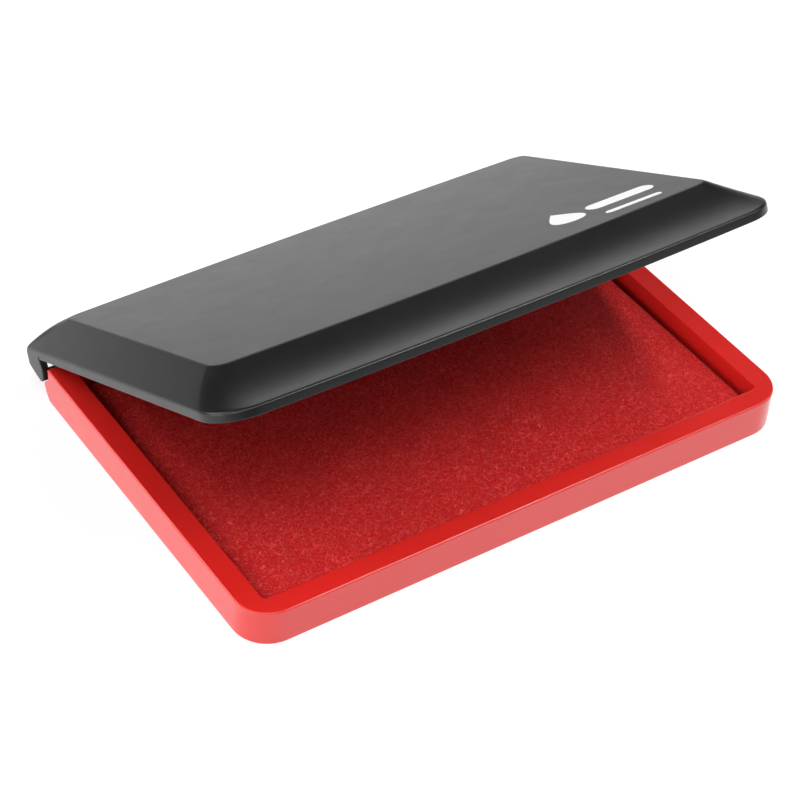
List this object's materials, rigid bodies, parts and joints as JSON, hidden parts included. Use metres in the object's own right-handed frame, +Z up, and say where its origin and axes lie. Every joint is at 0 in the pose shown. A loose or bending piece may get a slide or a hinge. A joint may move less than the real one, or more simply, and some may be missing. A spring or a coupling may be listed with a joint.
{
  "type": "ink pad",
  "caption": "Hinged stamp pad: a shallow tray with a cloth-covered felt ink pad and a bevelled lid on moulded ears, shown part open.",
  "frame": {"origin": "middle of the tray's flat underside, on the surface that it stands on", "axes": "+X along the long side to the right, +Y from the front edge to the hinge, +Z up out of the pad"},
  "size_m": [0.1194, 0.0858, 0.0477],
  "materials": {
    "tray_plastic": "satin moulded",
    "lid_plastic": "fine spark-eroded texture",
    "print_ink": "thin white pad-printed ink",
    "card": "pressed board",
    "felt": "ink-soaked felt",
    "fleece": "ink-soaked fleece",
    "ink_cloth": "damp fine-napped cloth"
  },
  "bodies": {
    "base": {"tray": "tray_plastic", "backing_board": "card", "felt_core": "felt", "wick_fleece": "fleece", "pad_cloth": "ink_cloth"},
    "lid": {"lid_shell": "lid_plastic"}
  },
  "joints": [
    {"name": "lid_hinge", "type": "hinge", "parent": "base", "child": "lid", "pos_m": [0, 0.0413, 0.005], "axis": [-1, 0, 0], "range_deg": [-27.5, 62.5]}
  ]
}
